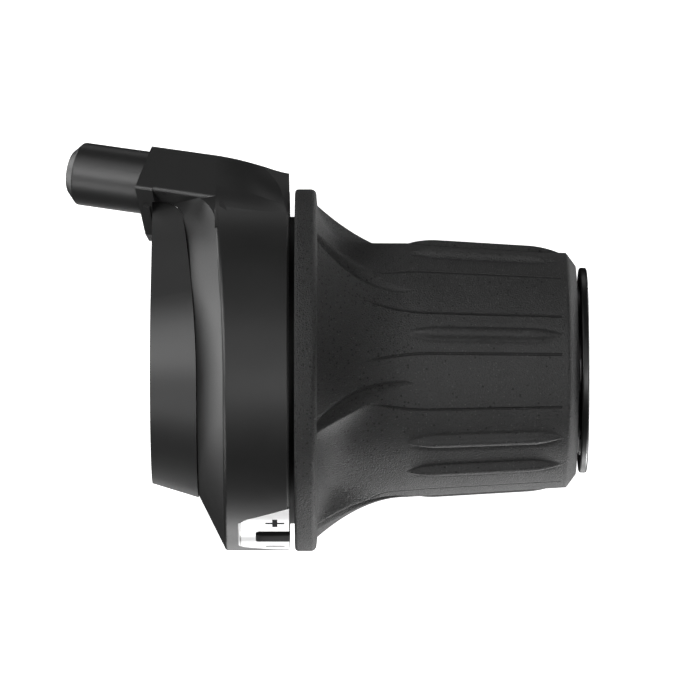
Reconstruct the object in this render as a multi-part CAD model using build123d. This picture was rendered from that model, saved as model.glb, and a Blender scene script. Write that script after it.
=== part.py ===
from build123d import *
from math import sin, cos, atan2, radians, degrees
import os

# Twist grip shifter for the right end of a handlebar.
# +X runs outboard along the bar, +Y is forward (the cable side), +Z is up.
# The origin is on the bar axis, in the running gap between housing and grip.
# Angles about the bar are measured from the top (+Z) towards the front (+Y).

os.makedirs("parts", exist_ok=True)

# Bar and bearing fits
bar_r = 11.1
bar_gap = 0.05
sleeve_wall = 1.2
turn_gap = 0.05
core_wall = 1.6
part_gap = 0.02
window_gap = 0.05

# Lengths along the bar
grip_gap = 0.8
drum_len = 9.7
band_len = 3.9
collar_len = 6.85
flange_t = 3.3
flare_len = 13.1
barrel_len = 24.0
taper_len = 1.4
disc_gap = 0.5
disc_t = 1.15
disc_lip = 0.6
lug_t = 0.2
lug_h = 1.0
sleeve_slot_w = 3.2

# Radii about the bar, and how far other radii stand from them
drum_r = 26.9
drum_wall = 2.2
band_step = 0.3
flange_proud = 0.1
flange_round = 0.7
flange_h = 3.5
collar_out_r = 19.0
collar_taper = 2.1
neck_step = 0.4
barrel_r = 18.95
barrel_taper = 1.45
end_wall = 1.6
disc_step = 0.3
disc_round = 0.35

# Cable block, nozzle and the bends of the housing outline
block_proud = 0.35
block_out = 1.0
block_drop = 1.0
block_yaw = 8.4
block_dip = 17.0
block_len = 15.0
ridge_f = -1.04
ridge_u = 6.97
front_f = 5.5
front_u = 1.97
rear_f = -7.6
rear_u = -1.0
shoulder_t = 9.0
shoulder_in = 2.0
shoulder_share = 0.93
shoulder_fall = 0.9
shoulder_depth = 4.6
corner_depth = 10.3
corner_fall = -0.3
crest_in = 0.3
riser_depth = 2.7
riser_f = -4.0
block_floor = -5.8
pad_f0 = -7.2
pad_f1 = -3.4
pad_t = 0.35
pad_w = 1.0
pad_depth = 0.8
nozzle_r = 4.7
nozzle_len = 12.4
nozzle_chamfer = 1.5
nozzle_round = 0.4
nozzle_seat_r = 2.4
nozzle_seat_len = 5.0
casing_r = 2.6
casing_depth = 9.0
inner_r = 1.0
liner_r = 1.7
liner_len = 9.0
passage_len = 17.0
bend_y = -3.0
split_bend_r = 150.0
drum_bend_r = 240.0
horn_angle = 39.0
horn_in = 1.25
horn_lip = 0.6
horn_round = 3.2
horn_floor = -7.0
cheek_angle = 66.5
cheek_out = 2.7
cheek_drop = 7.0
cheek_start = 52.0
cheek_blend_r = 14.0
cheek_sink = 0.02
cheek_ease = 2.1
cheek_lead = 3.0
cheek_lean = 1.2
cheek_foot = 125.0
cheek_rim_foot = 138.0
cheek_root = (12.0, 0.0)
cheek_z = -1.6
front_round = 0.8
front_lean = 0.3
ridge_round = 0.5
facet_x = -2.33
facet_out = 0.14
facet_z = 7.25
facet_normal = (0.599, 0.746, 0.292)

# Housing inside
wall_t = 2.2
spigot_step = 1.0
spigot_gap = 0.05
sleeve_flange_t = 1.4
screw_r = 1.0
screw_head_r = 1.9
screw_head_t = 1.2
screw_len = 8.0
screw_circle_r = 14.0
screw_count = 3

# Clamp
slit_w = 1.8
ear_w = 9.0
ear_len = 5.6
ear_out = 5.8
relief_w = 0.6
relief_z = -5.0
bolt_r = 2.0
bolt_hole_r = 2.15
bolt_head_r = 3.5
bolt_head_t = 4.0
bolt_hex = 3.0
nut_flats = 7.0
nut_t = 3.2

# Shift drum pieces
washer_t = 0.4
detent_t = 1.7
detent_wall = 4.6
notch_depth = 0.9
gear_count = 7
gear_step = 12.0
spool_in = 4.7
groove_wall = 1.4
groove_w = 2.2
seat_share = 0.41
key_w = 3.0
key_h = 0.9
number_gap = 0.7
number_t = 1.6
number_margin = 10.0
number_len = 5.2
web_t = 0.9
core_disc_t = 2.6
spline_h = 0.8
boss_in = 1.8
stop_angle = 60.0
stop_half = 5.0
stop_slack = 1.0
stop_h = 1.8

# Click spring
leaf_t = 0.45
leaf_w = 1.5
post_r = 1.0
post_y = 8.5
post_in = 2.0
eye_gap = 0.2

# Display window
window_angle = -66.0
window_t = 1.0
window_len = 8.3
window_half = 7.86
window_left_half = 4.45
window_corner = 4.2
window_bevel = 1.0
window_bevel_t = 0.3
slot_len = 4.95
slot_half = 2.05
slot_round = 0.6

# Cable change plug
plug_angle = 152.0
plug_x = -4.4
plug_r = 3.0
plug_head_r = 3.9
plug_head_t = 0.9

# Grip tread
panel_turn = 120.0
seam_angle = -2.8
wide_panel = -43.5
narrow_panel = 17.4
wide_lines = 25.6
narrow_lines = 9.6
wide_ribs = 9.0
rib_half_w = 1.1
rib_high = 0.85
rib_len = 23.4
rib_nose = 5.0
line_w = 0.45
line_deep = 0.45
line_spread = 2.0
line_start = 6.3
line_bend = 4.0
scoop_step = 0.05
scoop_start = 0.55
scoop_mid = 0.29
scoop_mid_x = 2.2
scoop_flat_x = 8.0
flare_share = 0.45
flare_mid = 5.3
scoop_half = 8.2
scoop_wide_half = 11.2
lens_r = 1.3
lens_deep = 0.6
lens_wheel_r = 12.0
flare_lean = 22.0
lens_out = 1.9
lens_x = 5.8

# Places along the bar that follow from the lengths
rim_x = -grip_gap / 2
drum_x = rim_x - drum_len
split_x = drum_x - band_len
collar_x = split_x - collar_len
flange_x = grip_gap / 2
flare_x = flange_x + flange_t
barrel_x = flare_x + flare_len
taper_x = barrel_x + barrel_len
grip_end_x = taper_x + taper_len
disc_x = grip_end_x + disc_gap
end_x = disc_x + disc_t
back_x = rim_x - drum_len + 1.5
wall_x = back_x - wall_t
washer_x = back_x + 0.05
core_x = washer_x + washer_t + 0.05
detent_x = core_x + 0.05
spool_x = detent_x + detent_t + 0.05
core_disc_x = rim_x - 0.5
crest_x = drum_x + 0.1
cheek_x = drum_x - 1.2
spigot_x = wall_x - sleeve_flange_t - spigot_gap
leaf_x = detent_x + (detent_t - leaf_w) / 2
relief_x = split_x - relief_w - 0.1
ear_x = relief_x - 0.2 - ear_len
bolt_x = ear_x + ear_len / 2

# Radii that follow from the fits
bore_r = bar_r + bar_gap
sleeve_r = bore_r + sleeve_wall
core_bore_r = sleeve_r + turn_gap
core_r = core_bore_r + core_wall
key_r = core_r + key_h
groove_r = core_r + groove_wall

# Radii that follow from the drum, the collar and the barrel
drum_bore_r = drum_r - drum_wall
band_r = drum_r - band_step
window_r = drum_r + 0.05
window_floor_r = window_r - window_t
boss_r = drum_bore_r - boss_in
number_r = drum_bore_r - number_gap
spool_r = drum_bore_r - spool_in
detent_r = core_r + detent_wall
post_z = -detent_r - post_in
eye_r = post_r + 0.05 + leaf_t
ear_drop = collar_out_r + ear_out
bolt_z = -ear_drop + 3.2
collar_in_r = collar_out_r - collar_taper
neck_r = collar_out_r - neck_step
spigot_r = collar_in_r - spigot_step
flange_r = drum_r + flange_proud
flare_r = flange_r - flange_h
flare_mid_r = barrel_r + (flare_r - barrel_r) * flare_share
barrel_end_r = barrel_r - barrel_taper
taper_r = core_r + end_wall
disc_r = taper_r - disc_step
lug_r = disc_r - 0.4
scoop_r = barrel_r + scoop_step
scoop_h = flange_r - scoop_r

# Places across the bar that follow from the drum
block_face = (collar_x - block_proud, drum_r + block_out, -block_drop)
horn_y = drum_r - horn_in
cheek_y = drum_r + cheek_out
facet_point = (facet_x, drum_r + facet_out, facet_z)

# Length of a cut that passes right through
reach = 2 * drum_r + 10


def turned(points):
    """Solid of revolution about the bar from its (x, radius) outline."""
    return revolve(make_face(Polyline(*points, close=True)), Axis.X)


def ring(x0, x1, r0, r1):
    """Plain ring about the bar."""
    return turned([(x0, r0), (x1, r0), (x1, r1), (x0, r1)])


def at_angle(shape, angle):
    """Shape drawn at the top of the bar, swung towards the front."""
    return Rot(X=-angle) * shape


def sector(points, first, last):
    """Part of a ring, from its (x, radius) outline and two angles about the bar."""
    face = make_face(Polyline(*points, close=True))
    return Rot(X=90 - last) * revolve(face, Axis.X, last - first)


def along_bar(x0, x1, y, z, r):
    """Round pin parallel to the bar."""
    return Pos((x0 + x1) / 2, y, z) * Rot(Y=90) * Cylinder(r, x1 - x0)


def across_bar(y0, y1, x, z, r):
    """Round pin that runs forward, square to the bar."""
    return Pos(x, (y0 + y1) / 2, z) * Rot(X=90) * Cylinder(r, y1 - y0)


def brick(x0, x1, y0, y1, z0, z1):
    """Square block between two corners."""
    return Pos((x0 + x1) / 2, (y0 + y1) / 2, (z0 + z1) / 2) * Box(x1 - x0, y1 - y0, z1 - z0)


def standing(face):
    """Flat outline seen from above, raised from the bar's middle to clear of everything."""
    return extrude(face, reach)


def round_point(r, angle):
    """Point (y, z) on a circle about the bar."""
    return (r * sin(radians(angle)), r * cos(radians(angle)))


# Housing, collar and block forms


def block_plane(depth=0.0):
    """Plane across the cable: x forward, y up and z inwards along the cable."""
    yaw = radians(block_yaw)
    dip = radians(block_dip)
    inwards = Vector(cos(dip) * cos(yaw), -cos(dip) * sin(yaw), sin(dip))
    forward = Vector(sin(yaw), cos(yaw), 0)
    return Plane(Vector(*block_face) + inwards * depth, x_dir=forward, z_dir=inwards)


def on_cable(depth0, depth1, r):
    """Round bar along the cable axis between two depths from the block's face."""
    return extrude(block_plane(depth0) * Circle(r), depth1 - depth0)


def block_at(f, u, x):
    """Where a line along the block, f forward and u up from the cable, passes x."""
    plane = block_plane()
    start = plane.from_local_coords(Vector(f, u, 0))
    point = start + plane.z_dir * ((x - start.X) / plane.z_dir.X)
    return (point.Y, point.Z)


def inboard_of(x, bend_r):
    """Space inboard of a line that bends away inboard as it runs forward."""
    low = Line((x, -reach), (x, bend_y))
    bend = CenterArc((x - bend_r, bend_y), bend_r, 0, 20)
    top = bend @ 1
    back = Polyline(top, (-reach, top.Y), (-reach, -reach), (x, -reach))
    return extrude(make_face([low, bend, back]), reach, both=True)


def collar_space(gap):
    """Space that the collar fills, bounded by the parting line seen from above."""
    front = horn_y - horn_lip + gap
    space = inboard_of(split_x + gap, split_bend_r)
    space = space & brick(collar_x, split_x + 2, -reach, front, -reach, reach)
    corner = space.edges().filter_by(Axis.Z).sort_by(Axis.Y)[-2:].sort_by(Axis.X)[-1]
    return fillet(corner, horn_round)


def drum_form():
    """Drum with a rounded inboard shoulder and its steep sloping band."""
    drum = ring(drum_x - 5, rim_x, 0, drum_r) - inboard_of(drum_x, drum_bend_r)
    shoulder = drum.edges().filter_by(GeomType.CIRCLE, reverse=True)
    drum = fillet(shoulder, 0.6)
    rim = drum.faces().sort_by(Axis.X)[-1].edges()
    drum = chamfer(rim, 0.3)
    neck = [(split_x - 3, 0), (split_x - 3, neck_r), (split_x, neck_r)]
    band = turned(neck + [(crest_x, band_r), (crest_x + 1, band_r), (crest_x + 1, 0)])
    return drum + band


def horn_section(x, r):
    """Outline of the collar's horn where the collar has radius r."""
    a = radians(horn_angle)
    touch = round_point(r, horn_angle)
    tip_z = touch[1] - (horn_y - touch[0]) * sin(a) / cos(a)
    outline = [touch, (horn_y, tip_z), (horn_y, horn_floor), round_point(r, 128), (1, 0)]
    return make_face(Polyline(*[(x, y, z) for y, z in outline], close=True))


def collar_form():
    """Tapered collar with the horn that reaches forward under the cable block."""
    far_x = split_x + 1.0
    far_r = collar_out_r + (collar_out_r - collar_in_r) / collar_len
    cone = turned([(collar_x, 0), (collar_x, collar_in_r), (far_x, far_r), (far_x, 0)])
    horn = loft([horn_section(collar_x, collar_in_r), horn_section(far_x, far_r)], ruled=True)
    return cone + horn


def block_slab(depth0, depth1, rear):
    """Length of the cable block with a given rear edge, drawn across the cable."""
    roof = [(ridge_f, ridge_u), (front_f, front_u)]
    floor = [(front_f - front_lean, block_floor), (rear[0] + 1.2, block_floor)]
    back = [(rear[0] - 0.9, rear[1] - 2.2), rear]
    outline = make_face(Polyline(*roof, *floor, *back, close=True))
    slab = extrude(block_plane(depth0) * outline, depth1 - depth0)
    ways = slab.edges().filter_by(lambda e: abs(e.length - depth1 + depth0) < 0.01)
    slab = fillet(ways.sort_by(Axis.Y)[-2:].sort_by(Axis.Z)[-1], front_round)
    ways = slab.edges().filter_by(lambda e: abs(e.length - depth1 + depth0) < 0.01)
    return fillet(ways.sort_by(Axis.Z)[-1], ridge_round)


def block_form():
    """Roofed block that carries the nozzle, with a steep riser behind the collar's horn."""
    face = block_slab(0, riser_depth, (rear_f, rear_u))
    riser = block_slab(riser_depth, block_len, (riser_f, rear_u))
    block = (face + riser) & brick(-reach, cheek_x, -reach, reach, -reach, reach)
    return block + block_pad()


def rear_face(f, lift):
    """Point over the block's rear roof face, f forward of the cable."""
    slope = (ridge_u - rear_u) / (ridge_f - rear_f)
    size = (1 + slope * slope) ** 0.5
    return (f - lift * slope / size, ridge_u + (f - ridge_f) * slope + lift / size)


def block_pad():
    """Small raised pad on the block's rear roof face."""
    low = [rear_face(pad_f1, -0.5), rear_face(pad_f0, -0.5)]
    top = [rear_face(pad_f0, pad_t), rear_face(pad_f1, pad_t)]
    return extrude(block_plane(pad_depth) * make_face(Polyline(*low, *top, close=True)), pad_w)


def roof_blend(x):
    """Arc that blends the drum into the block's roof, as a point on the drum, a middle and a roof point."""
    crest = Vector(*block_at(ridge_f, ridge_u, x))
    way = (Vector(*block_at(front_f, front_u, x)) - crest).normalized()
    lift = crest + Vector(-way.Y, way.X) * cheek_blend_r
    along = lift.dot(way)
    apart = drum_r - cheek_sink + cheek_blend_r
    run = (along * along - lift.dot(lift) + apart * apart) ** 0.5 - along
    centre = lift + way * run
    low = centre * ((drum_r - cheek_sink) / apart)
    high = crest + way * run
    middle = centre + ((low + high) / 2 - centre).normalized() * cheek_blend_r
    return [(point.X, point.Y) for point in (low, middle, high)]


def cheek_section(x, share):
    """Slice across the front cheek, share of the way from the block's roof to the drum's front."""
    skin_r = drum_r - cheek_sink
    blend = roof_blend(x)
    near = [
        round_point(skin_r, cheek_start),
        round_point(skin_r, (cheek_start + degrees(atan2(*blend[0]))) / 2),
        *blend,
        block_at(front_f, front_u, x),
        block_at(front_f - front_lean, block_floor, x),
        round_point(drum_r - 0.5, cheek_foot),
        cheek_root,
    ]
    turns = [cheek_start + (cheek_angle - cheek_start) * part for part in (0, 0.25, 0.5, 0.75, 1)]
    far = [
        *[round_point(skin_r, turn) for turn in turns],
        (cheek_y, cheek_z),
        (cheek_y - cheek_lean, cheek_z - cheek_drop),
        round_point(drum_r - 0.1, cheek_rim_foot),
        cheek_root,
    ]
    points = [Vector(x, *a) * (1 - share) + Vector(x, *b) * share for a, b in zip(near, far)]
    arcs = [ThreePointArc(*points[:3]), ThreePointArc(*points[2:5])]
    run = Polyline(*points[4:], points[0])
    return make_face([*arcs, *run.edges()])


def cheek_form():
    """Front cheek that twists from the block's roof to the drum's steep front."""
    slices = [cheek_section(cheek_x - cheek_lead, 0)]
    for place in (0, 0.28, 0.5, 1):
        slices.append(cheek_section(cheek_x + place * (rim_x - 0.1 - cheek_x), place ** cheek_ease))
    cheek = loft(slices)
    ways = cheek.edges().filter_by(lambda e: e.bounding_box().size.X > 5)
    front_edge = ways.sort_by(Axis.Y)[-2:].sort_by(Axis.Z)[-1]
    cheek = fillet(front_edge, front_round)
    return cheek & brick(cheek_x, reach, -reach, reach, -reach, reach)


def cheek_facet():
    """Space beyond the flat facet that trims the cheek beside the grip flange."""
    plane = Plane(facet_point, z_dir=facet_normal)
    return extrude(plane * Rectangle(reach, reach), reach)


def collar_top(x, y):
    """Height of the collar's outside at a place seen from above."""
    r = collar_in_r + collar_taper * (x - collar_x) / collar_len
    touch = round_point(r, horn_angle)
    if y < touch[0]:
        return (r * r - y * y) ** 0.5
    return touch[1] - (y - touch[0]) * sin(radians(horn_angle)) / cos(radians(horn_angle))


def bent_x(x, y, bend_r):
    """Place along the bar of a line that leaves x and bends inboard with bend_r."""
    return x - max(y - bend_y, 0) ** 2 / (2 * bend_r)


def shoulder_section(low_x, low_y, crest, fall):
    """Upright slice of the shoulder from the collar's edge to a crest and on into the housing."""
    foot = Vector(low_x, low_y, collar_top(low_x, low_y) - neck_step)
    run = Vector(crest.X - low_x, crest.Y - low_y, 0).normalized() * shoulder_in
    inner = crest + run - Vector(0, 0, run.Y * fall)
    down = Vector(0, 0, shoulder_t)
    return make_face(Polyline(foot, crest, inner, inner - down, foot - down, close=True))


def shoulder_form():
    """Sloping wall that runs from the drum's band round under the cable block."""
    slices = []
    for angle in (0, 7, 20, 40, 58):
        high_y, high_z = round_point(band_r, angle)
        crest = Vector(bent_x(crest_x, high_y, drum_bend_r), high_y, high_z)
        low_y = high_y * shoulder_share
        low_x = bent_x(split_x, low_y, split_bend_r)
        slices.append(shoulder_section(low_x, low_y, crest, shoulder_fall))
    front = horn_y - horn_lip
    corner_x = bent_x(split_x, front, split_bend_r)
    cut = horn_round * (1 - cos(radians(45)))
    corner = (corner_x - cut, front - cut, corner_depth, corner_fall)
    end = (corner_x - horn_round, front, shoulder_depth, shoulder_fall)
    for low_x, low_y, depth, fall in (corner, end):
        crest = block_plane(depth).from_local_coords(Vector(ridge_f - crest_in, ridge_u - crest_in, 0))
        slices.append(shoulder_section(low_x, low_y, crest, fall))
    return loft(slices)


def cable_mouth():
    """Opening through the drum wall where the cable runs on to its spool."""
    mouth = block_plane(passage_len).origin
    hole = brick(mouth.X - liner_r, mouth.X + liner_r, -liner_r, liner_r, drum_bore_r - 2, drum_bore_r + 1)
    return at_angle(hole, degrees(atan2(mouth.Y, mouth.Z)))


def stop_form(x0, x1, r0, r1, angle):
    """Travel stop: a short piece of a ring about the bar."""
    outline = [(x0, r0), (x1, r0), (x1, r1), (x0, r1)]
    return sector(outline, angle - stop_half, angle + stop_half)


def make_housing():
    """Drum, band and cable block in one moulding, open towards the grip."""
    body = drum_form() + cheek_form() - cheek_facet()
    body = body + block_form() + shoulder_form()
    body = body - collar_space(part_gap)
    body = body - ring(-reach, wall_x, 0, spigot_r + spigot_gap)
    body = body - ring(wall_x - 1, back_x + 1, 0, sleeve_r)
    body = body - ring(back_x, rim_x + 1, 0, drum_bore_r)
    body = body - on_cable(-1, nozzle_seat_len, nozzle_seat_r)
    body = body - on_cable(nozzle_seat_len - 1, passage_len, liner_r)
    body = body - cable_mouth()
    body = body - window_blank(window_gap)
    body = body - window_slot(0.2)
    body = body - plug_form()
    for y in (-post_y, post_y):
        body = body - along_bar(back_x, leaf_x + leaf_w + eye_gap, y, post_z, eye_r + eye_gap)
        body = body + along_bar(back_x - 0.5, leaf_x + leaf_w, y, post_z, post_r)
    travel = (gear_count - 1) * gear_step
    apart = 2 * stop_half + stop_slack
    for angle in (stop_angle + apart, stop_angle - travel - apart):
        body = body + stop_form(back_x - 0.5, spool_x - 0.4, detent_r + 0.5, drum_bore_r + 0.5, angle)
    return body - screw_holes()


def make_collar():
    """Split collar: spigot, clamp ears, slit and the relief that lets it close."""
    body = collar_form() & collar_space(0)
    body = body + ring(split_x - 2, spigot_x, 0, spigot_r)
    body = body + brick(ear_x, ear_x + ear_len, -ear_w / 2, ear_w / 2, -ear_drop, -bore_r - 1)
    body = body - ring(-reach, 0, 0, bore_r)
    body = body - brick(-reach, relief_x + relief_w, -slit_w / 2, slit_w / 2, -reach, 0)
    body = body - brick(relief_x, relief_x + relief_w, -reach, reach, -reach, relief_z)
    body = body - across_bar(-ear_w, ear_w, bolt_x, bolt_z, bolt_hole_r)
    return body - screw_holes()


def screw_form():
    """One collar screw at the top of the bar, drawn without its slot."""
    neck_x = back_x - screw_head_t
    head = along_bar(neck_x, back_x, 0, screw_circle_r, screw_head_r)
    return head + along_bar(neck_x - screw_len, neck_x, 0, screw_circle_r, screw_r)


def screw_holes():
    """Space that the collar screws fill."""
    return Compound([at_angle(screw_form(), i * 360 / screw_count) for i in range(screw_count)])


def make_screws():
    """Screws that draw the collar against the housing's back wall."""
    low = screw_circle_r - 1.3
    screw = screw_form() - brick(back_x - 0.5, back_x + 1, -0.25, 0.25, low, low + 2.6)
    return Compound([at_angle(screw, i * 360 / screw_count) for i in range(screw_count)])


def make_sleeve():
    """Bearing sleeve round the bar, flanged between collar and back wall."""
    x0 = wall_x - sleeve_flange_t
    body = ring(x0, disc_x + disc_lip, bore_r, sleeve_r) + ring(x0, wall_x, bore_r, spigot_r)
    body = body - brick(disc_x - 4, end_x, -sleeve_slot_w / 2, sleeve_slot_w / 2, -reach, reach)
    return body - screw_holes()


def make_end_disc():
    """Round-rimmed disc that keeps the grip on the sleeve."""
    outline = [(disc_x, sleeve_r), (disc_x, disc_r), (end_x, disc_r), (end_x, bore_r)]
    outline = outline + [(disc_x + disc_lip, bore_r), (disc_x + disc_lip, sleeve_r)]
    face = make_face(Polyline(*outline, close=True))
    face = fillet(face.vertices().sort_by(Axis.Y)[-2:], disc_round)
    x0 = disc_x - lug_t
    x1 = disc_x + disc_lip
    lug = sector([(x0, lug_r - lug_h), (x1, lug_r - lug_h), (x1, lug_r), (x0, lug_r)], -57, -43)
    return revolve(face, Axis.X) + lug


def hexagon(y, flats, length):
    """Six-sided bar on the clamp bolt's axis."""
    plane = Plane((bolt_x, y, bolt_z), z_dir=(0, 1, 0))
    return extrude(plane * RegularPolygon(flats / 2, 6, major_radius=False), length)


def make_bolt():
    """Socket head clamp bolt."""
    head_y = -ear_w / 2
    body = across_bar(head_y - bolt_head_t, head_y, bolt_x, bolt_z, bolt_head_r)
    body = chamfer(body.edges().filter_by(GeomType.CIRCLE).sort_by(Axis.Y)[0], 0.4)
    body = body + across_bar(head_y, ear_w / 2 + nut_t + 1, bolt_x, bolt_z, bolt_r)
    return body - hexagon(head_y - bolt_head_t, bolt_hex, bolt_hex * 0.7)


def make_nut():
    """Hexagon nut on the clamp bolt."""
    return hexagon(ear_w / 2, nut_flats, nut_t) - across_bar(-ear_w, 3 * ear_w, bolt_x, bolt_z, bolt_r)


def make_nozzle():
    """Round-nosed casing stop set into the cable block."""
    body = on_cable(-nozzle_len, 0, nozzle_r)
    body = chamfer(body.edges().filter_by(GeomType.CIRCLE).sort_by(Axis.X)[0], nozzle_chamfer)
    body = fillet(body.edges().filter_by(GeomType.CIRCLE).sort_by(Axis.X)[:2], nozzle_round)
    body = body + on_cable(0, nozzle_seat_len, nozzle_seat_r)
    body = body - on_cable(-nozzle_len, -nozzle_len + casing_depth, casing_r)
    return body - on_cable(-nozzle_len, nozzle_seat_len, inner_r)


def make_liner():
    """Straight guide tube for the inner cable behind the nozzle."""
    tube = on_cable(nozzle_seat_len, nozzle_seat_len + liner_len, liner_r)
    return tube - on_cable(nozzle_seat_len, nozzle_seat_len + liner_len, inner_r)


def window_outline(grow):
    """Fan-shaped outline of the display window, open at the drum's rim."""
    left = rim_x - window_len - grow
    wide = window_half + grow
    narrow = window_left_half + grow
    face = make_face(Polyline((rim_x, -wide), (rim_x, wide), (left, narrow), (left, -narrow), close=True))
    return fillet(face.vertices().sort_by(Axis.X)[:2], window_corner)


def window_blank(grow):
    """Curved slab of the window, let into the drum wall."""
    left = rim_x - window_len - grow
    floor = [(left, window_floor_r), (rim_x, window_floor_r)]
    crest = [(rim_x, window_r), (left + window_bevel, window_r), (left, window_r - window_bevel_t)]
    return turned(floor + crest) & at_angle(standing(window_outline(grow)), window_angle)


def window_slot(grow):
    """Slot that shows one number, open at the drum's rim."""
    half = slot_half + grow
    left = rim_x - slot_len - grow
    slot = Rectangle(reach, 2 * half, align=(Align.MIN, Align.CENTER))
    slot = fillet(slot.vertices().sort_by(Axis.X)[:2], slot_round)
    return at_angle(standing(Pos(left, 0) * slot), window_angle)


def make_window():
    """Glossy display window with its number slot."""
    return window_blank(0) - window_slot(0)


def plug_form():
    """Cable change plug, drawn without its slot."""
    shank = Pos(plug_x, 0, (drum_bore_r + drum_r) / 2) * Cylinder(plug_r, drum_wall - 0.2)
    head = Pos(plug_x, 0, drum_r) * Cylinder(plug_head_r, plug_head_t)
    return at_angle(shank + head, plug_angle)


def make_plug():
    """Cable change plug with a coin slot."""
    slot = brick(plug_x - 2.6, plug_x + 2.6, -0.5, 0.5, drum_r - 0.1, drum_r + 2)
    return plug_form() - at_angle(slot, plug_angle)


def make_washer():
    """Thrust washer between back wall and grip core."""
    return ring(washer_x, washer_x + washer_t, core_bore_r, core_r + 2)


def make_core():
    """Grip core: tube, end disc, drive keys and splines under the rubber."""
    disc_end = core_disc_x + core_disc_t
    body = ring(core_x, grip_end_x - 0.2, core_bore_r, core_r)
    body = body + ring(core_disc_x, disc_end, core_bore_r, boss_r)
    for i in range(3):
        key = brick(core_x + 0.05, core_disc_x, -key_w / 2, key_w / 2, core_r - 0.5, key_r)
        spline = brick(disc_end, taper_x - 3, -key_w / 2, key_w / 2, core_r - 0.5, core_r + spline_h)
        body = body + at_angle(key + spline, i * panel_turn + 60)
    return body


def make_spool(core):
    """Cable spool with its winding groove and the seat for the cable end."""
    mid = (spool_x + core_disc_x) / 2
    half = groove_w / 2
    groove = [(mid - half, groove_r), (mid + half, groove_r)]
    groove = groove + [(mid + half + 0.6, spool_r + 1), (mid - half - 0.6, spool_r + 1)]
    seat_r = (spool_r - groove_r) * seat_share
    seat = at_angle(along_bar(mid - 2.4, core_disc_x + 1, 0, (groove_r + spool_r) / 2, seat_r), 150)
    return ring(spool_x, core_disc_x, core_r, spool_r) - turned(groove) - core - seat


def make_detent(core):
    """Notched ring that the click spring drops into, one notch a gear."""
    body = ring(detent_x, detent_x + detent_t, core_r, detent_r)
    low = detent_r - notch_depth
    for i in range(gear_count):
        vee = make_face(Polyline((0, low), (1.6, low + 1.1), (-1.6, low + 1.1), close=True))
        notch = Pos(detent_x - 1, 0, 0) * extrude(Plane.YZ * vee, detent_t + 2)
        body = body - at_angle(notch, 180 + i * gear_step)
    body = body + stop_form(detent_x, detent_x + detent_t, detent_r - 1, detent_r + stop_h, stop_angle)
    return body - core


def make_number_ring():
    """Number band that passes under the window, on its web ring."""
    x0 = core_disc_x - number_len
    inner = number_r - number_t
    first = window_angle - number_margin
    last = window_angle + (gear_count - 1) * gear_step + number_margin
    outline = [(x0, inner), (core_disc_x, inner), (core_disc_x, number_r), (x0, number_r)]
    band = sector(outline, first, last)
    return ring(core_disc_x - web_t, core_disc_x, spool_r, number_r) + band


def make_spring():
    """Leaf click spring with a nose in the middle and an eye at each end."""
    mid_z = post_z + post_r + 0.05 + leaf_t / 2
    nose_z = -detent_r + notch_depth - 0.4
    half = leaf_t / 2
    tall = half * 1.25
    top = mid_z + half
    low = mid_z - half
    run = [(-post_y, top), (-1.6, top), (0, nose_z + tall), (1.6, top), (post_y, top)]
    back = [(post_y, low), (1.5, low), (0, nose_z - tall), (-1.5, low), (-post_y, low)]
    leaf = extrude(Plane.YZ * make_face(Polyline(*run, *back, close=True)), leaf_w)
    body = Pos(leaf_x, 0, 0) * leaf
    for y in (-post_y, post_y):
        body = body + along_bar(leaf_x, leaf_x + leaf_w, y, post_z, eye_r)
    for y in (-post_y, post_y):
        body = body - along_bar(leaf_x - 1, leaf_x + leaf_w + 1, y, post_z, eye_r - leaf_t)
    return body


# Grip rubber


def barrel_at(x):
    """Radius of the barrel's line at a place along the bar."""
    return barrel_r + (barrel_end_r - barrel_r) * (x - barrel_x) / barrel_len


def grip_turned(corner_x, neck):
    """Flange, a given neck and the tapering barrel, turned about the bar."""
    rise = Polyline((flange_x, core_r), (flange_x, flange_r), (corner_x, flange_r), neck[0] @ 0)
    end = [(taper_x, barrel_end_r), (grip_end_x, taper_r), (grip_end_x, core_r), (flange_x, core_r)]
    fall = Polyline(neck[-1] @ 1, *end)
    face = make_face([*rise.edges(), *neck, *fall.edges()])
    face = fillet(face.vertices().sort_by(Axis.Y)[-2:], flange_round)
    return at_angle(revolve(face, Axis.X), seam_angle - 90)


def flare_blank():
    """Grip with the plain flared neck that lies between the thumb scoops."""
    flare = ThreePointArc((flare_x, flare_r), (flare_x + flare_mid, flare_mid_r), (barrel_x, barrel_r))
    return grip_turned(flange_x + 2.0, [flare])


def scoop_blank():
    """Grip with the hollow neck of the thumb scoops."""
    start = (flare_x + 0.25, scoop_r + scoop_h * scoop_start)
    mid = (flare_x + scoop_mid_x, scoop_r + scoop_h * scoop_mid)
    bend = ThreePointArc(start, mid, (flare_x + scoop_flat_x, scoop_r))
    return grip_turned(flange_x + 2.3, [bend, Line(bend @ 1, (barrel_x, barrel_r))])


def half_fan(x):
    """Half width of the thumb scoop at a place along the bar."""
    return scoop_half + (scoop_wide_half - scoop_half) * (x - flare_x) / flare_len


def fan_form():
    """Fan-shaped space of one thumb scoop, drawn at the top of the grip."""
    x0 = flange_x + flange_round + 0.4
    x1 = barrel_x + 0.3
    near = half_fan(x0)
    far = half_fan(x1)
    return standing(make_face(Polyline((x0, -near), (x1, -far), (x1, far), (x0, near), close=True)))


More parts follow.
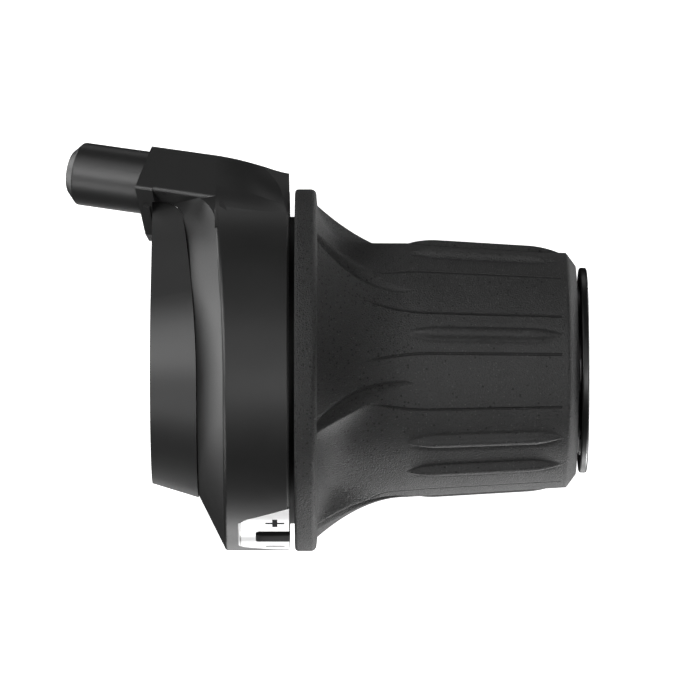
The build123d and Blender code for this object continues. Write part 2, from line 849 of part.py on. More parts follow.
def lens_form(side):
    """Wheel that cuts the lens-shaped hollow beside one edge of a thumb scoop."""
    x = flare_x + lens_x
    y = half_fan(x) + lens_out
    r = flare_mid_r - (lens_x - flare_mid) * 0.35
    z = (r * r - y * y) ** 0.5
    lean = radians(flare_lean)
    out = Vector(sin(lean), cos(lean) * side * y / r, cos(lean) * z / r)
    along = Vector(1, side * (scoop_wide_half - scoop_half) / flare_len, -0.63)
    across = along.cross(out)
    place = Plane(Vector(x, side * y, z) + out * (lens_wheel_r - lens_deep), z_dir=across)
    return place * Torus(lens_wheel_r - lens_r, lens_r)


def line_form(start_r, side):
    """Thin groove along one edge of a tread panel, bending outwards at the flange end."""
    x0 = flare_x + line_start
    x1 = taper_x - 1.0
    floor = [(x0, start_r), (barrel_x, barrel_r), (x1, barrel_at(x1))]
    depth = turned([(x, r - line_deep) for x, r in floor] + [(x1, flange_r), (x0, flange_r)])
    half = line_w / 2
    bend_x = barrel_x + line_bend
    upper = TangentArc((bend_x, half), (x0 - 1, side * line_spread + half), tangent=(-1, 0))
    lower = TangentArc((bend_x, -half), (x0 - 1, side * line_spread - half), tangent=(-1, 0))
    run = Polyline(upper @ 0, (x1, half), (x1, -half), lower @ 0)
    end = Line(upper @ 1, lower @ 1)
    return depth & standing(make_face([upper, *run.edges(), lower, end]))


def rib_form():
    """Round tread rib on the barrel, drawn out to a point at each end."""
    mid = (barrel_x + taper_x) / 2 - 0.4
    slope = (barrel_end_r - barrel_r) / barrel_len
    tip = rib_len / 2
    shoulder = tip - rib_nose
    first = TangentArc((-shoulder, rib_half_w), (-tip, 0), tangent=(-1, 0))
    crest = Line((-shoulder, rib_half_w), (shoulder, rib_half_w))
    last = TangentArc((shoulder, rib_half_w), (tip, 0), tangent=(1, 0))
    rib = revolve(make_face([first, crest, last, Line((-tip, 0), (tip, 0))]), Axis.X)
    height = barrel_at(mid) + rib_high - rib_half_w
    return Plane((mid, 0, height), x_dir=(1, 0, slope), z_dir=(-slope, 0, 1)) * rib


def make_rubber(core):
    """Moulded rubber: thumb scoops, edge hollows, panel grooves and ribs."""
    plain = flare_blank()
    hollow = scoop_blank()
    flare_line_r = barrel_r + (flare_mid_r - barrel_r) * 0.85
    fans = [at_angle(fan_form(), wide_panel + i * panel_turn) for i in range(3)]
    body = plain - core - fans + [(hollow & fan) - core for fan in fans]
    cuts = []
    ribs = []
    for i in range(3):
        wide = wide_panel + i * panel_turn
        narrow = narrow_panel + i * panel_turn
        for side in (-1, 1):
            cuts.append(at_angle(lens_form(side), wide))
            cuts.append(at_angle(line_form(scoop_r, side), wide + side * wide_lines))
            cuts.append(at_angle(line_form(flare_line_r, side), narrow + side * narrow_lines))
            ribs.append(at_angle(rib_form(), wide + side * wide_ribs))
        ribs.append(at_angle(rib_form(), narrow))
    for cut in cuts:
        body = body - cut
    for rib in ribs:
        body = body + rib
    return body


core = make_core()
nodes = {
    "housing": make_housing(),
    "clamp_collar": make_collar(),
    "bar_sleeve": make_sleeve(),
    "end_disc": make_end_disc(),
    "clamp_bolt": make_bolt(),
    "clamp_nut": make_nut(),
    "collar_screws": make_screws(),
    "casing_nozzle": make_nozzle(),
    "cable_liner": make_liner(),
    "display_window": make_window(),
    "port_plug": make_plug(),
    "thrust_washer": make_washer(),
    "click_spring": make_spring(),
    "grip_core": core,
    "grip_rubber": make_rubber(core),
    "cable_spool": make_spool(core),
    "detent_ring": make_detent(core),
    "number_ring": make_number_ring(),
}
for name, shape in nodes.items():
    export_step(shape, f"parts/{name}.step")
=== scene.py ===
# %% [markdown]
# # A twist grip shifter, dressed for the camera
# The solids come from the CAD frame and are never moved. This lesson gives each of them
# its finish, draws the grip's skin, adds the printed signs, the gear numbers and the bolt's
# thread, and sets up the light and the camera. Sizes are in metres and angles about the bar
# start at the top and run to the front.

# %% Load the frame
import bmesh
import bpy
import numpy as np
from math import sin, cos, pi, radians
from mathutils import Matrix, Vector


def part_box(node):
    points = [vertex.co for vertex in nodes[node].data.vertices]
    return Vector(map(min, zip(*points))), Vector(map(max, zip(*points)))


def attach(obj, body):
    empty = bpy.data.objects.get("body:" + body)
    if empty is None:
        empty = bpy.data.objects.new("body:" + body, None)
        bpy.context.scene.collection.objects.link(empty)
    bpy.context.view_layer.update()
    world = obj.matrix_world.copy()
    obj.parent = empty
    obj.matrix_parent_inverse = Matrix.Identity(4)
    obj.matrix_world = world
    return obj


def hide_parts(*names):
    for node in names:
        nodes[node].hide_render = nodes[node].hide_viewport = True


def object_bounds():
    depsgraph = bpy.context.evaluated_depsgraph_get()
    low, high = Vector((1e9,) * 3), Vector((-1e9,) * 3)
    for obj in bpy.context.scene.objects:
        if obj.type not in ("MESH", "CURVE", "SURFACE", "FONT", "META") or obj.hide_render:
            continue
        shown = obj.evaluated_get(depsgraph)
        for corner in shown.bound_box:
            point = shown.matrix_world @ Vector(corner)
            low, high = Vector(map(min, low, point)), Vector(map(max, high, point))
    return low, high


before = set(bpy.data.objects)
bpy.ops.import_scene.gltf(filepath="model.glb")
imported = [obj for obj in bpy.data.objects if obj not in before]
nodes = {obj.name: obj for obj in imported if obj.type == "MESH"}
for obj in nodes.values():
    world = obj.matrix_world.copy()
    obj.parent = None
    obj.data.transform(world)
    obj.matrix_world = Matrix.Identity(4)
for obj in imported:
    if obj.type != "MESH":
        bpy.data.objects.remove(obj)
cad_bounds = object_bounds()
scene = bpy.context.scene
mm = 0.001
print("frame:", len(nodes), "nodes")

# %% [markdown]
# ## Camera
# The product is seen straight from above with a long lens, so that round parts keep their
# true outline. The lens follows from the width that the picture takes in and the distance.

# %% Camera over the bar
picture_width = 101.5 * mm
camera_height = 1050 * mm
picture_middle = Vector((7.1 * mm, 4.5 * mm, camera_height))
sensor_width = 36

camera_data = bpy.data.cameras.new("camera")
camera_data.sensor_width = sensor_width
camera_data.lens = sensor_width * camera_height / picture_width
camera_data.clip_start = 0.05
camera_data.clip_end = 20
camera = bpy.data.objects.new("camera", camera_data)
camera.location = picture_middle
scene.collection.objects.link(camera)
scene.camera = camera
print("lens:", round(camera_data.lens), "mm")

# %% [markdown]
# ## Light table and studio light
# Such parts are photographed on a white light table. The sheet glows by itself, so the
# ground stays white and shadows are faint, and a ring of lamps under it sends light up past
# the part, which gives steep flanks a bright rim. One more lamp, lower still, lights the rear
# edge. The sheet is kept out of reflections and lets those lamps through. Soft boxes stand
# mostly on the inboard side, with dark room between them: on near-black plastic the form is
# read from where the boxes mirror and where the room does.

# %% Floor
def plain_floor(name, half, height):
    """Flat square floor centred under the part."""
    corners = [(-half, -half), (half, -half), (half, half), (-half, half)]
    mesh = bpy.data.meshes.new(name)
    mesh.from_pydata([(x, y, height) for x, y in corners], [], [(0, 1, 2, 3)])
    floor = bpy.data.objects.new(name, mesh)
    scene.collection.objects.link(floor)
    return floor


floor_gap = 0.2 * mm
floor_half = 3.0
floor_height = cad_bounds[0].z - floor_gap
floor = plain_floor("light_table", floor_half, floor_height)
floor.visible_glossy = False
floor.visible_diffuse = False
floor.visible_shadow = False
print("floor at", round(floor_height / mm, 2), "mm")


# %% Lights
def soft_box(name, tilt, turn, power, size=0.3, distance=0.8):
    """Square light that faces the part.

    The tilt is from straight above and the turn is from outboard towards the front, in degrees.
    """
    data = bpy.data.lights.new(name, "AREA")
    data.shape = "SQUARE"
    data.size = size
    data.energy = power
    light = bpy.data.objects.new(name, data)
    lean = radians(tilt)
    away = Vector((sin(lean) * cos(radians(turn)), sin(lean) * sin(radians(turn)), cos(lean)))
    light.location = away * distance
    light.rotation_euler = away.to_track_quat("Z", "Y").to_euler()
    light.visible_camera = False
    scene.collection.objects.link(light)


lamp_tilt = 120
lamp_powers = {0: 5.0, 30: 1.4, 90: 0.2, 150: 1.5, 180: 1.3, 270: 1.4, 300: 6.5}

soft_box("top_box", 20, 330, 2.2)
soft_box("top_front_box", 20, 90, 0.35)
soft_box("inboard_key", 40, 168, 2.0)
soft_box("inboard_front_box", 60, 150, 3.1)
soft_box("inboard_rear_box", 60, 210, 2.0)
soft_box("front_box", 60, 120, 0.5)
soft_box("outboard_box", 80, 350, 1.2)
for turn, power in lamp_powers.items():
    soft_box("table_lamp_%03d" % turn, lamp_tilt, turn, power)
soft_box("rear_edge_lamp", 150, 270, 0.5)

# %% [markdown]
# The room is almost dark to the part, so that only the boxes mirror in it. The camera sees
# a pale wall instead: the Light Path node tells the camera's own rays from the others.


# %% Room
room_light = 0.05
wall_grey = 0.93

world = bpy.data.worlds.new("studio_room")
world.use_nodes = True
scene.world = world
surroundings = world.node_tree
room = surroundings.nodes["Background"]
room.inputs["Strength"].default_value = room_light
wall = surroundings.nodes.new("ShaderNodeBackground")
wall.inputs["Color"].default_value = (wall_grey, wall_grey, wall_grey, 1)
choice = surroundings.nodes.new("ShaderNodeMixShader")
ray = surroundings.nodes.new("ShaderNodeLightPath")
surroundings.links.new(ray.outputs["Is Camera Ray"], choice.inputs["Fac"])
surroundings.links.new(room.outputs["Background"], choice.inputs[1])
surroundings.links.new(wall.outputs["Background"], choice.inputs[2])
surroundings.links.new(choice.outputs["Shader"], surroundings.nodes["World Output"].inputs["Surface"])
scene.view_settings.view_transform = "Standard"
print("room strength", room_light)

# %% [markdown]
# ## Writing finishes as sums
# A finish is a small network of nodes. Laying it out by hand is slow to read, so `Wire`
# wraps one socket and turns Python sums into Math nodes, and `Finish` adds any other node
# with its settings first and its sockets after.


# %% Wire
class Wire:
    """A value socket that can be used in sums."""

    def __init__(self, finish, socket):
        self.finish = finish
        self.socket = socket

    def sum(self, operation, first, second):
        """Result of one Math node."""
        found = self.finish.node("ShaderNodeMath", {"operation": operation}, {0: first, 1: second})
        return found["Value"]

    def __add__(self, other):
        return self.sum("ADD", self, other)

    def __radd__(self, other):
        return self.sum("ADD", other, self)

    def __sub__(self, other):
        return self.sum("SUBTRACT", self, other)

    def __rsub__(self, other):
        return self.sum("SUBTRACT", other, self)

    def __mul__(self, other):
        return self.sum("MULTIPLY", self, other)

    def __truediv__(self, other):
        return self.sum("DIVIDE", self, other)

    def __pow__(self, other):
        return self.sum("POWER", self, other)

    def __lt__(self, other):
        return self.sum("LESS_THAN", self, other)

    def __gt__(self, other):
        return self.sum("GREATER_THAN", self, other)

    def __abs__(self):
        return self.sum("ABSOLUTE", self, 0.0)

    def above(self, least):
        """The value, or the least value where it falls below that."""
        return self.sum("MAXIMUM", self, least)


# %% Finish
class Made:
    """A node in a finish; its outputs are read by name or number."""

    def __init__(self, finish, node):
        self.finish = finish
        self.node = node

    def __getitem__(self, output):
        return Wire(self.finish, self.node.outputs[output])


class Finish:
    """A material built up node by node around one Principled shader."""

    def __init__(self, name):
        self.material = bpy.data.materials.new(name)
        self.material.use_nodes = True
        self.tree = self.material.node_tree
        self.shader = self.tree.nodes["Principled BSDF"]
        self.place = self.node("ShaderNodeTexCoord")["Object"]

    def feed(self, socket, value):
        """Link a wire to a socket, or set the socket to a constant."""
        if isinstance(value, Wire):
            self.tree.links.new(value.socket, socket)
        else:
            socket.default_value = value

    def node(self, kind, settings=None, sockets=None):
        """Any node, with its settings by name and its sockets by name or number."""
        made = self.tree.nodes.new(kind)
        for key, value in (settings or {}).items():
            setattr(made, key, value)
        for key, value in (sockets or {}).items():
            self.feed(made.inputs[key], value)
        return Made(self, made)

    def set(self, **sockets):
        """Feed the shader's own sockets; an underscore stands for a space."""
        for key, value in sockets.items():
            self.feed(self.shader.inputs[key.replace("_", " ")], value)

    def grain(self, size, detail=2.0):
        """Soft random pattern, 0 to 1, with spots of about the given size."""
        sockets = {"Vector": self.place, "Scale": 1 / size, "Detail": detail}
        return self.node("ShaderNodeTexNoise", {}, sockets)["Fac"]

    def spread(self, value, low, high):
        """The middle half of a random pattern, drawn out between two values."""
        sockets = {"Value": value, "From Min": 0.3, "From Max": 0.7, "To Min": low, "To Max": high}
        return self.node("ShaderNodeMapRange", {}, sockets)["Result"]

    def mix(self, factor, first, second):
        """Blend of two colours."""
        sockets = {"Factor": factor, 6: first, 7: second}
        return self.node("ShaderNodeMix", {"data_type": "RGBA"}, sockets)[2]

    def grey(self, value):
        """A value as a neutral colour."""
        sockets = {"Red": value, "Green": value, "Blue": value}
        return self.node("ShaderNodeCombineColor", {}, sockets)["Color"]

    def fade(self, value, start, end):
        """Smooth step from 0 at the start to 1 at the end."""
        sockets = {"Value": value, "From Min": start, "From Max": end}
        return self.node("ShaderNodeMapRange", {"interpolation_type": "SMOOTHSTEP"}, sockets)["Result"]

    def split(self):
        """Object place along the bar, to the front and up."""
        found = self.node("ShaderNodeSeparateXYZ", {}, {"Vector": self.place})
        return found["X"], found["Y"], found["Z"]

    def pits(self, size, share):
        """Round dots in a given share of the cells of a random pattern."""
        cells = self.node("ShaderNodeTexVoronoi", {}, {"Vector": self.place, "Scale": 1 / size})
        lot = self.node("ShaderNodeSeparateColor", {}, {"Color": cells["Color"]})["Red"]
        return (cells["Distance"] < 0.3) * (lot < share)

    def bump(self, height, strength, depth):
        """Surface relief of a given depth."""
        sockets = {"Height": height, "Strength": strength, "Distance": depth}
        return self.node("ShaderNodeBump", {}, sockets)["Normal"]


# %% [markdown]
# ## Satin moulded plastic
# The housing, the collar and the nozzle are dark moulded nylon with a satin skin from a
# finely eroded mould. Its look is mostly reflection, so the colour stays near black and
# the roughness carries the finish: slow cloudy changes from the moulding, and a fine
# eroded grain as relief.


# %% Satin plastic
def satin_plastic(name, tone, rough, grain_size, relief):
    """Moulded plastic of a given grey, roughness and grain."""
    finish = Finish(name)
    cloud = finish.grain(9 * mm, 3)
    eroded = finish.grain(grain_size, 4)
    finish.set(Base_Color=finish.grey(finish.spread(cloud, tone * 0.9, tone * 1.1)))
    finish.set(Roughness=finish.spread(eroded * 0.6 + cloud * 0.4, rough - 0.04, rough + 0.04))
    finish.set(Normal=finish.bump(eroded, relief, 0.02 * mm))
    return finish.material


housing_finish = satin_plastic("housing_satin", 0.014, 0.42, 0.22 * mm, 0.10)
collar_finish = satin_plastic("collar_satin", 0.016, 0.44, 0.25 * mm, 0.10)
nozzle_finish = satin_plastic("nozzle_satin", 0.014, 0.40, 0.2 * mm, 0.08)
core_finish = satin_plastic("core_plastic", 0.010, 0.55, 0.3 * mm, 0.12)
disc_finish = satin_plastic("disc_plastic", 0.008, 0.34, 0.2 * mm, 0.05)
number_finish = satin_plastic("number_plastic", 0.008, 0.45, 0.3 * mm, 0.08)
print("plastics done")

# %% [markdown]
# ## Grip rubber
# The grip is a soft dark rubber. Its mould was blasted, so the skin is matt and grainy, with
# small pits that crowd on the flare beside the flange, darkened as painted shade, and light
# specks on the barrel, which are painted glints of small bumps. Both come from cell patterns
# in which only some cells hold a dot, and a slow cloud makes the pits gather.
#
# Pairs of hair-thin grooves edge the tread panels and spread over the flare, where they fade
# out. They could be cut in the mesh, but a groove this thin would need a net far finer than
# the rest. Here they are relief in the finish with painted shade in them, found by their
# distance from a bent line in the angle about the bar, folded into a third of a turn. Their
# angles are in degrees.

# %% Panel grooves
third = 120
scoop_middle = -43.5
groove_bend = 20.8 * mm
groove_run = 11.8 * mm
groove_swing = 2.0 * mm
groove_floor = 0.06 * mm
groove_edge = 0.25 * mm
groove_lines = ((25.6, 1), (-25.6, -1), (51.3, -1), (-49.5, 1))


def panel_grooves(finish):
    """The hair-thin grooves, 0 beside and 1 in them."""
    along, front, up = finish.split()
    angle = along.sum("ARCTAN2", front, up) - radians(scoop_middle)
    turn = {0: angle, 1: radians(third) / 2, 2: -radians(third) / 2}
    folded = finish.node("ShaderNodeMath", {"operation": "WRAP"}, turn)["Value"]
    radius = (front * front + up * up) ** 0.5
    spread = ((groove_bend - along).above(0.0) / groove_run) ** 2 * groove_swing
    groove_and_shade = 0.0
    for degrees, side in groove_lines:
        apart = folded - radians(degrees)
        gap = abs(radius * apart.sum("SINE", apart, 0.0) - spread * side)
        groove_and_shade = groove_and_shade + (1 - finish.fade(gap, groove_floor, groove_edge))
    begin = finish.fade(along, 9.5 * mm, 14 * mm)
    stop = finish.fade(along, 39.7 * mm, 39.9 * mm)
    return groove_and_shade * begin * (1 - stop)


# %% Speckled rubber
def speckled_rubber(name):
    """Matt grainy rubber; its pits and the panels' grooves are darkened as painted shade, its specks
    lightened as painted glints.
    """
    finish = Finish(name)
    along = finish.split()[0]
    mottle = finish.grain(0.22 * mm, 2)
    cloud = finish.grain(5 * mm, 2)
    flared = 1 - finish.fade(along, 11 * mm, 20 * mm)
    crowd = finish.spread(cloud, 0.0, 1.0) * flared
    # Pits: sunk in the relief, and their colour darkened as painted shade.
    pit_shade = finish.pits(0.55 * mm, 0.06 + crowd * 0.6)
    # Light specks: their colour is lifted as painted glints, with a little relief.
    speck_glint = finish.pits(0.38 * mm, 0.14 - crowd * 0.1)
    # The grooves sink the relief and darken the colour as painted shade.
    groove_and_shade = panel_grooves(finish)
    tone = finish.spread(mottle, 0.010, 0.032) * finish.spread(cloud, 0.92, 1.08)
    # The colour: painted shade in the pits and grooves, painted glints from the specks.
    finish.set(Base_Color=finish.grey(tone * (1 - pit_shade * 0.9) * (1 - groove_and_shade * 0.8) + speck_glint * 0.022))
    finish.set(Roughness=finish.spread(mottle, 0.56, 0.80))
    skin = mottle * (flared * (0.20 * mm) + 0.15 * mm) + speck_glint * (0.05 * mm)
    relief = skin - pit_shade * (0.10 * mm) - groove_and_shade * (0.25 * mm)
    finish.set(Normal=finish.bump(relief, 1.0, 1.0))
    finish.shader.inputs["Specular IOR Level"].default_value = 0.45
    return finish.material


rubber_finish = speckled_rubber("grip_rubber")
print("rubber done")

# %% [markdown]
# ## White window
# The display window is a glossy white moulding. A thin line of painted shade parts its
# bevelled end from the face, and the walls of its number slot are painted dark as shade, so
# that the number stands in a black frame. Both are found from the Object coordinate, the
# line by its place along the bar and the walls by lying deeper than the face, and need no
# extra mesh.


# %% Glossy window
def glossy_window(name, face_radius, shade_line_x, shade_line_width):
    """White moulding with a painted shade line across its bevelled end and slot walls painted dark as
    shade.
    """
    finish = Finish(name)
    along, front, up = finish.split()
    # Painted shade: a thin dark line where the bevelled end meets the face.
    bevel_shade_line = abs(along - shade_line_x) < shade_line_width / 2
    radius = (front * front + up * up) ** 0.5
    # Painted shade: the slot walls, deeper than the face, are made near black.
    deep = (radius < face_radius - 0.06 * mm) * (along > shade_line_x)
    cloud = finish.grain(4 * mm, 2)
    white = finish.grey(finish.spread(cloud, 0.86, 0.90))
    # Painted shade: the bevel's line and the slot walls are mixed to near black.
    finish.set(Base_Color=finish.mix((bevel_shade_line + deep) * 0.9, white, (0.006, 0.006, 0.006, 1)))
    finish.set(Roughness=finish.spread(cloud, 0.12, 0.18))
    finish.shader.inputs["Coat Weight"].default_value = 0.4
    return finish.material


window_low, window_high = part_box("display_window")
window_radius = 26.95 * mm
window_shade_line_x = window_low.x + 1.1 * mm
window_shade_line_width = 0.14 * mm
window_finish = glossy_window("window_white", window_radius, window_shade_line_x, window_shade_line_width)
print("window from", round(window_low.x / mm, 2), "to", round(window_high.x / mm, 2), "mm")

# %% [markdown]
# ## Metal, nylon and ink
# Bolt, nut and screws are zinc-plated steel with fine turning marks, the spring is darker
# blued strip. The marks could be drawn as rings, but at this size a fine noise in roughness
# and relief reads the same and needs no axis. Sleeve, liner, washer and spool are smooth
# bearing nylon. The signs are printed in matt ink, which mirrors almost nothing.


# %% Steel, nylon and ink
def plated_steel(name, tone, rough):
    """Steel with fine turning marks and a faint stain."""
    finish = Finish(name)
    scratch = finish.grain(0.12 * mm, 3)
    stain = finish.grain(2 * mm, 3)
    finish.set(Base_Color=finish.grey(finish.spread(stain, tone * 0.85, tone)))
    finish.set(Roughness=finish.spread(scratch, rough - 0.08, rough + 0.1))
    finish.set(Normal=finish.bump(scratch, 0.15, 0.01 * mm))
    finish.shader.inputs["Metallic"].default_value = 1.0
    return finish.material


def printed_ink(name, tone):
    """Matt ink of a given grey."""
    finish = Finish(name)
    weave = finish.grain(0.1 * mm, 2)
    finish.set(Base_Color=finish.grey(finish.spread(weave, tone * 0.9, tone)))
    finish.set(Roughness=finish.spread(weave, 0.7, 0.85))
    finish.shader.inputs["Specular IOR Level"].default_value = 0.1
    return finish.material


bolt_finish = plated_steel("plated_steel", 0.62, 0.30)
spring_finish = plated_steel("spring_steel", 0.35, 0.34)
sleeve_finish = satin_plastic("sleeve_nylon", 0.012, 0.36, 0.3 * mm, 0.06)
spool_finish = satin_plastic("spool_nylon", 0.30, 0.40, 0.3 * mm, 0.06)
dark_ink = printed_ink("dark_ink", 0.012)
grey_ink = printed_ink("grey_ink", 0.03)
white_ink = printed_ink("white_ink", 0.80)
print("metal, nylon and ink done")

# %% [markdown]
# ## Finishes onto the solids
# Each piece of the real part is moulded or turned from one material, so each CAD node keeps
# its mesh and only gets its finish. The finishes could be set where they are made, but one
# list shows at a glance what every piece is made of.

# %% Dress the solids
finishes = {
    "housing": housing_finish,
    "clamp_collar": collar_finish,
    "casing_nozzle": nozzle_finish,
    "bar_sleeve": sleeve_finish,
    "cable_liner": sleeve_finish,
    "thrust_washer": spool_finish,
    "cable_spool": spool_finish,
    "detent_ring": core_finish,
    "grip_core": core_finish,
    "number_ring": number_finish,
    "grip_rubber": rubber_finish,
    "end_disc": disc_finish,
    "port_plug": housing_finish,
    "display_window": window_finish,
    "clamp_bolt": bolt_finish,
    "clamp_nut": bolt_finish,
    "collar_screws": bolt_finish,
    "click_spring": spring_finish,
}
for name, finish in finishes.items():
    mesh = nodes[name].data
    mesh.materials.clear()
    mesh.materials.append(finish)
print("dressed", len(finishes), "of", len(nodes), "nodes")

# %% [markdown]
# ## Grip skin
# The rubber is one moulding: a round-edged flange, a flare with three thumb scoops, and a
# barrel with ribs. The solid has these forms in plain terms. The skin that the camera sees
# is drawn from one rule, the radius for a place along the bar and an angle about it. So the
# scoops melt into the flare, their lips stay crisp, and the hollows beside them run out to
# points. It could be sculpted by hand, but then the three thirds would differ. A net of
# points carries the rule, and its threads follow the lips, so that no edge is stepped.
# Lengths in this step are in millimetres and angles in degrees.


# %% Sizes of the skin
flange_start = 0.4
flange_middle = 1.8
flange_end = 3.6
flange_radius = 27.0
inboard_round = 0.5
outboard_round = 0.85
flare_start = 3.73
flare_end = 16.8
flare_rise = 5.95
flare_bend = 1.9
scoop_rise = 4.75
scoop_bend = 6.8
scoop_fullness = 5
lip_start = 22
lip_slope = 0.7
lip_curve = 0.034
barrel_radius = 18.95
barrel_taper = 1.45
taper_length = 24
barrel_end = 40.8
grip_end = 42.2
recess_radius = 22.93
recess_floor = 1.72
core_bore = 14.95
core_end = 38.2
end_bore = 14.02
hollow_middle = 9.3
hollow_reach = 8.5
hollow_end = 17.2
hollow_breadth = 8.4
hollow_depth = 0.95
rib_angles = (-9.0, 9.0, 60.9)
rib_middle = 28.4
rib_straight = 6.7
rib_point = 5
rib_half = 0.9
rib_sunk = 0.1
foot_depth = 0.25
foot_gap = 0.15
foot_width = 0.3
print("skin from", flange_start, "to", grip_end, "mm")


# %% Rule of the skin
def flare_share(x):
    """1 where the flare leaves the flange, 0 on the barrel."""
    return np.clip((flare_end - x) / (flare_end - flare_start), 0, 1)


def barrel_line(x):
    """Radius of the barrel, which tapers towards its end."""
    return barrel_radius - barrel_taper * np.clip((x - flare_end) / taper_length, 0, 1)


def lip_angle(x):
    """Angle of a scoop's lip from the scoop's middle."""
    run = np.clip(x, flare_start, flare_end) - flare_start
    return lip_start + lip_slope * run + lip_curve * run ** 2


def hollow_width(x):
    """Width of the hollow beside the lip, in degrees."""
    aside = (np.clip(x, flare_start, hollow_end) - hollow_middle) / hollow_reach
    return hollow_breadth * (1 - aside ** 2)


def rib_height(x, aside):
    """Rounded rib with drawn-out ends and a faint groove along its foot."""
    end = np.clip((abs(x - rib_middle) - rib_straight) / rib_point, 0, 1)
    half = rib_half * (1 - end ** 2)
    ridge = np.sqrt(np.maximum(half ** 2 - aside ** 2, 0)) - rib_sunk
    beside = (abs(aside) - half - foot_gap) / foot_width
    foot = foot_depth * (1 - end ** 2) * np.exp(-beside ** 2)
    return np.maximum(ridge, 0) - foot


def folded(angle):
    """Angle brought into the third of a turn about a scoop's middle."""
    return (angle + third / 2) % third - third / 2


def skin_radius(x, angle):
    """Radius of the skin from the flare's start to the barrel's end."""
    off = abs(angle)
    plain = barrel_line(x) + flare_rise * flare_share(x) ** flare_bend
    deep = barrel_line(x) + scoop_rise * flare_share(x) ** scoop_bend
    lip = lip_angle(x)
    scoop = deep + (plain - deep) * np.clip(off / lip, 0, 1) ** scoop_fullness
    step = np.clip((off - lip) / hollow_width(x), 0, 1)
    run = np.clip(1 - ((x - hollow_middle) / hollow_reach) ** 2, 0, 1) ** 0.7
    hollow = hollow_depth * run * np.sin(pi * step ** 2)
    radius = np.where(off < lip, scoop, plain - hollow)
    for rib in rib_angles:
        radius = radius + rib_height(x, np.radians(folded(angle - rib)) * barrel_line(x))
    return radius


# %% Net of the skin
def net_angles(x):
    """Angles of the net's threads over one scoop, close together beside its lips."""
    lip = lip_angle(x)
    foot = lip + hollow_width(x)
    inside = np.linspace(0, lip, 47)[:-1]
    beside = np.linspace(lip, foot, 15)[:-1]
    half = np.concatenate([inside, beside, np.linspace(foot, third / 2, 31)])
    return np.concatenate([-half[:0:-1], half[:-1]])


def rounded_edge(x, radius, round_radius, first, last, steps):
    """Places on a quarter circle, for a rounded edge."""
    turns = np.radians(np.linspace(first, last, steps))
    return [(x + round_radius * cos(t), radius + round_radius * sin(t)) for t in turns]


inboard_rim = flange_radius - inboard_round
rim = flange_radius - outboard_round
flange_rows = [(flange_start, recess_radius)]
flange_rows += rounded_edge(flange_start + inboard_round, inboard_rim, inboard_round, 180, 90, 5)
flange_rows += [(flange_middle, flange_radius)]
flange_rows += rounded_edge(flange_end - outboard_round, rim, outboard_round, 90, 0, 8)
chamfer_rows = [(41.27, 16.87), (41.74, 16.24), (grip_end, 15.6)]
bore_rows = [(grip_end, end_bore), (core_end, end_bore), (core_end, core_bore)]
bore_rows += [(recess_floor, core_bore), (recess_floor, recess_radius)]
net_change = 17
flare_places = np.arange(flare_start, net_change, 0.155)
barrel_places = np.arange(net_change, barrel_end, 0.42)

rows = []
for x, radius in flange_rows:
    rows.append((x, net_angles(x), radius))
for share in (0.35, 0.7, 0.9):
    angles = net_angles(flare_start)
    radius = rim + (skin_radius(flare_start, angles) - rim) * share
    rows.append((flange_end + (flare_start - flange_end) * share, angles, radius))
for x in [*flare_places, *barrel_places, barrel_end]:
    angles = net_angles(x)
    rows.append((x, angles, skin_radius(x, angles)))
for x, radius in chamfer_rows + bore_rows:
    rows.append((x, net_angles(x), radius))
print("net:", len(rows), "rows of", 3 * len(rows[0][1]), "points")


# %% Skin mesh
def ring_points(x, angles, radius):
    """One row of the net, all round the bar."""
    full = np.radians(np.concatenate([angles, angles + third, angles + 2 * third]) + scoop_middle)
    radii = np.concatenate([radius + 0 * angles] * 3)
    return np.stack([x + 0 * full, radii * np.sin(full), radii * np.cos(full)], 1)


net = np.stack([ring_points(*row) for row in rows])
height, width = net.shape[:2]
here = np.arange(height)[:, None] * width + np.arange(width)
below = np.roll(here, -1, 0)
quads = np.stack([here, below, np.roll(below, -1, 1), np.roll(here, -1, 1)], 2).reshape(-1, 4)
skin_mesh = bpy.data.meshes.new("grip_skin")
skin_mesh.from_pydata((net.reshape(-1, 3) * mm).tolist(), [], quads.tolist())
skin_mesh.shade_smooth()
skin_mesh.materials.append(rubber_finish)
grip_skin = bpy.data.objects.new("grip_skin", skin_mesh)
scene.collection.objects.link(grip_skin)
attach(grip_skin, "grip")
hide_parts("grip_rubber")
print("skin:", 2 * len(quads), "triangles")

# %% [markdown]
# ## Signs on the window
# A plus and a minus beside the number slot show which way to turn. They are thin films of
# ink that follow the drum's curve. They could be painted in the finish, but a plate keeps
# sharp edges and goes along with the part when it is exported. Each stroke is a small plate
# bent about the bar, so it lies on the window from every side.


# %% Bent plates
def at_radius(x, radius, angle):
    """Point at an angle about the bar, from the top towards the front."""
    return Vector((x, radius * sin(angle), radius * cos(angle)))


def bent_plate(x0, x1, angle0, angle1, radius, thick, steps=8):
    """Vertices and faces of a plate that follows a circle about the bar."""
    points = []
    for i in range(steps + 1):
        angle = angle0 + (angle1 - angle0) * i / steps
        for x, r in ((x0, radius), (x1, radius), (x1, radius + thick), (x0, radius + thick)):
            points.append(at_radius(x, r, angle))
    faces = []
    for i in range(steps):
        a = 4 * i
        for j in range(4):
            k = (j + 1) % 4
            faces.append((a + j, a + 4 + j, a + 4 + k, a + k))
    last = 4 * steps
    faces.append((0, 1, 2, 3))
    faces.append((last + 3, last + 2, last + 1, last))
    return points, faces


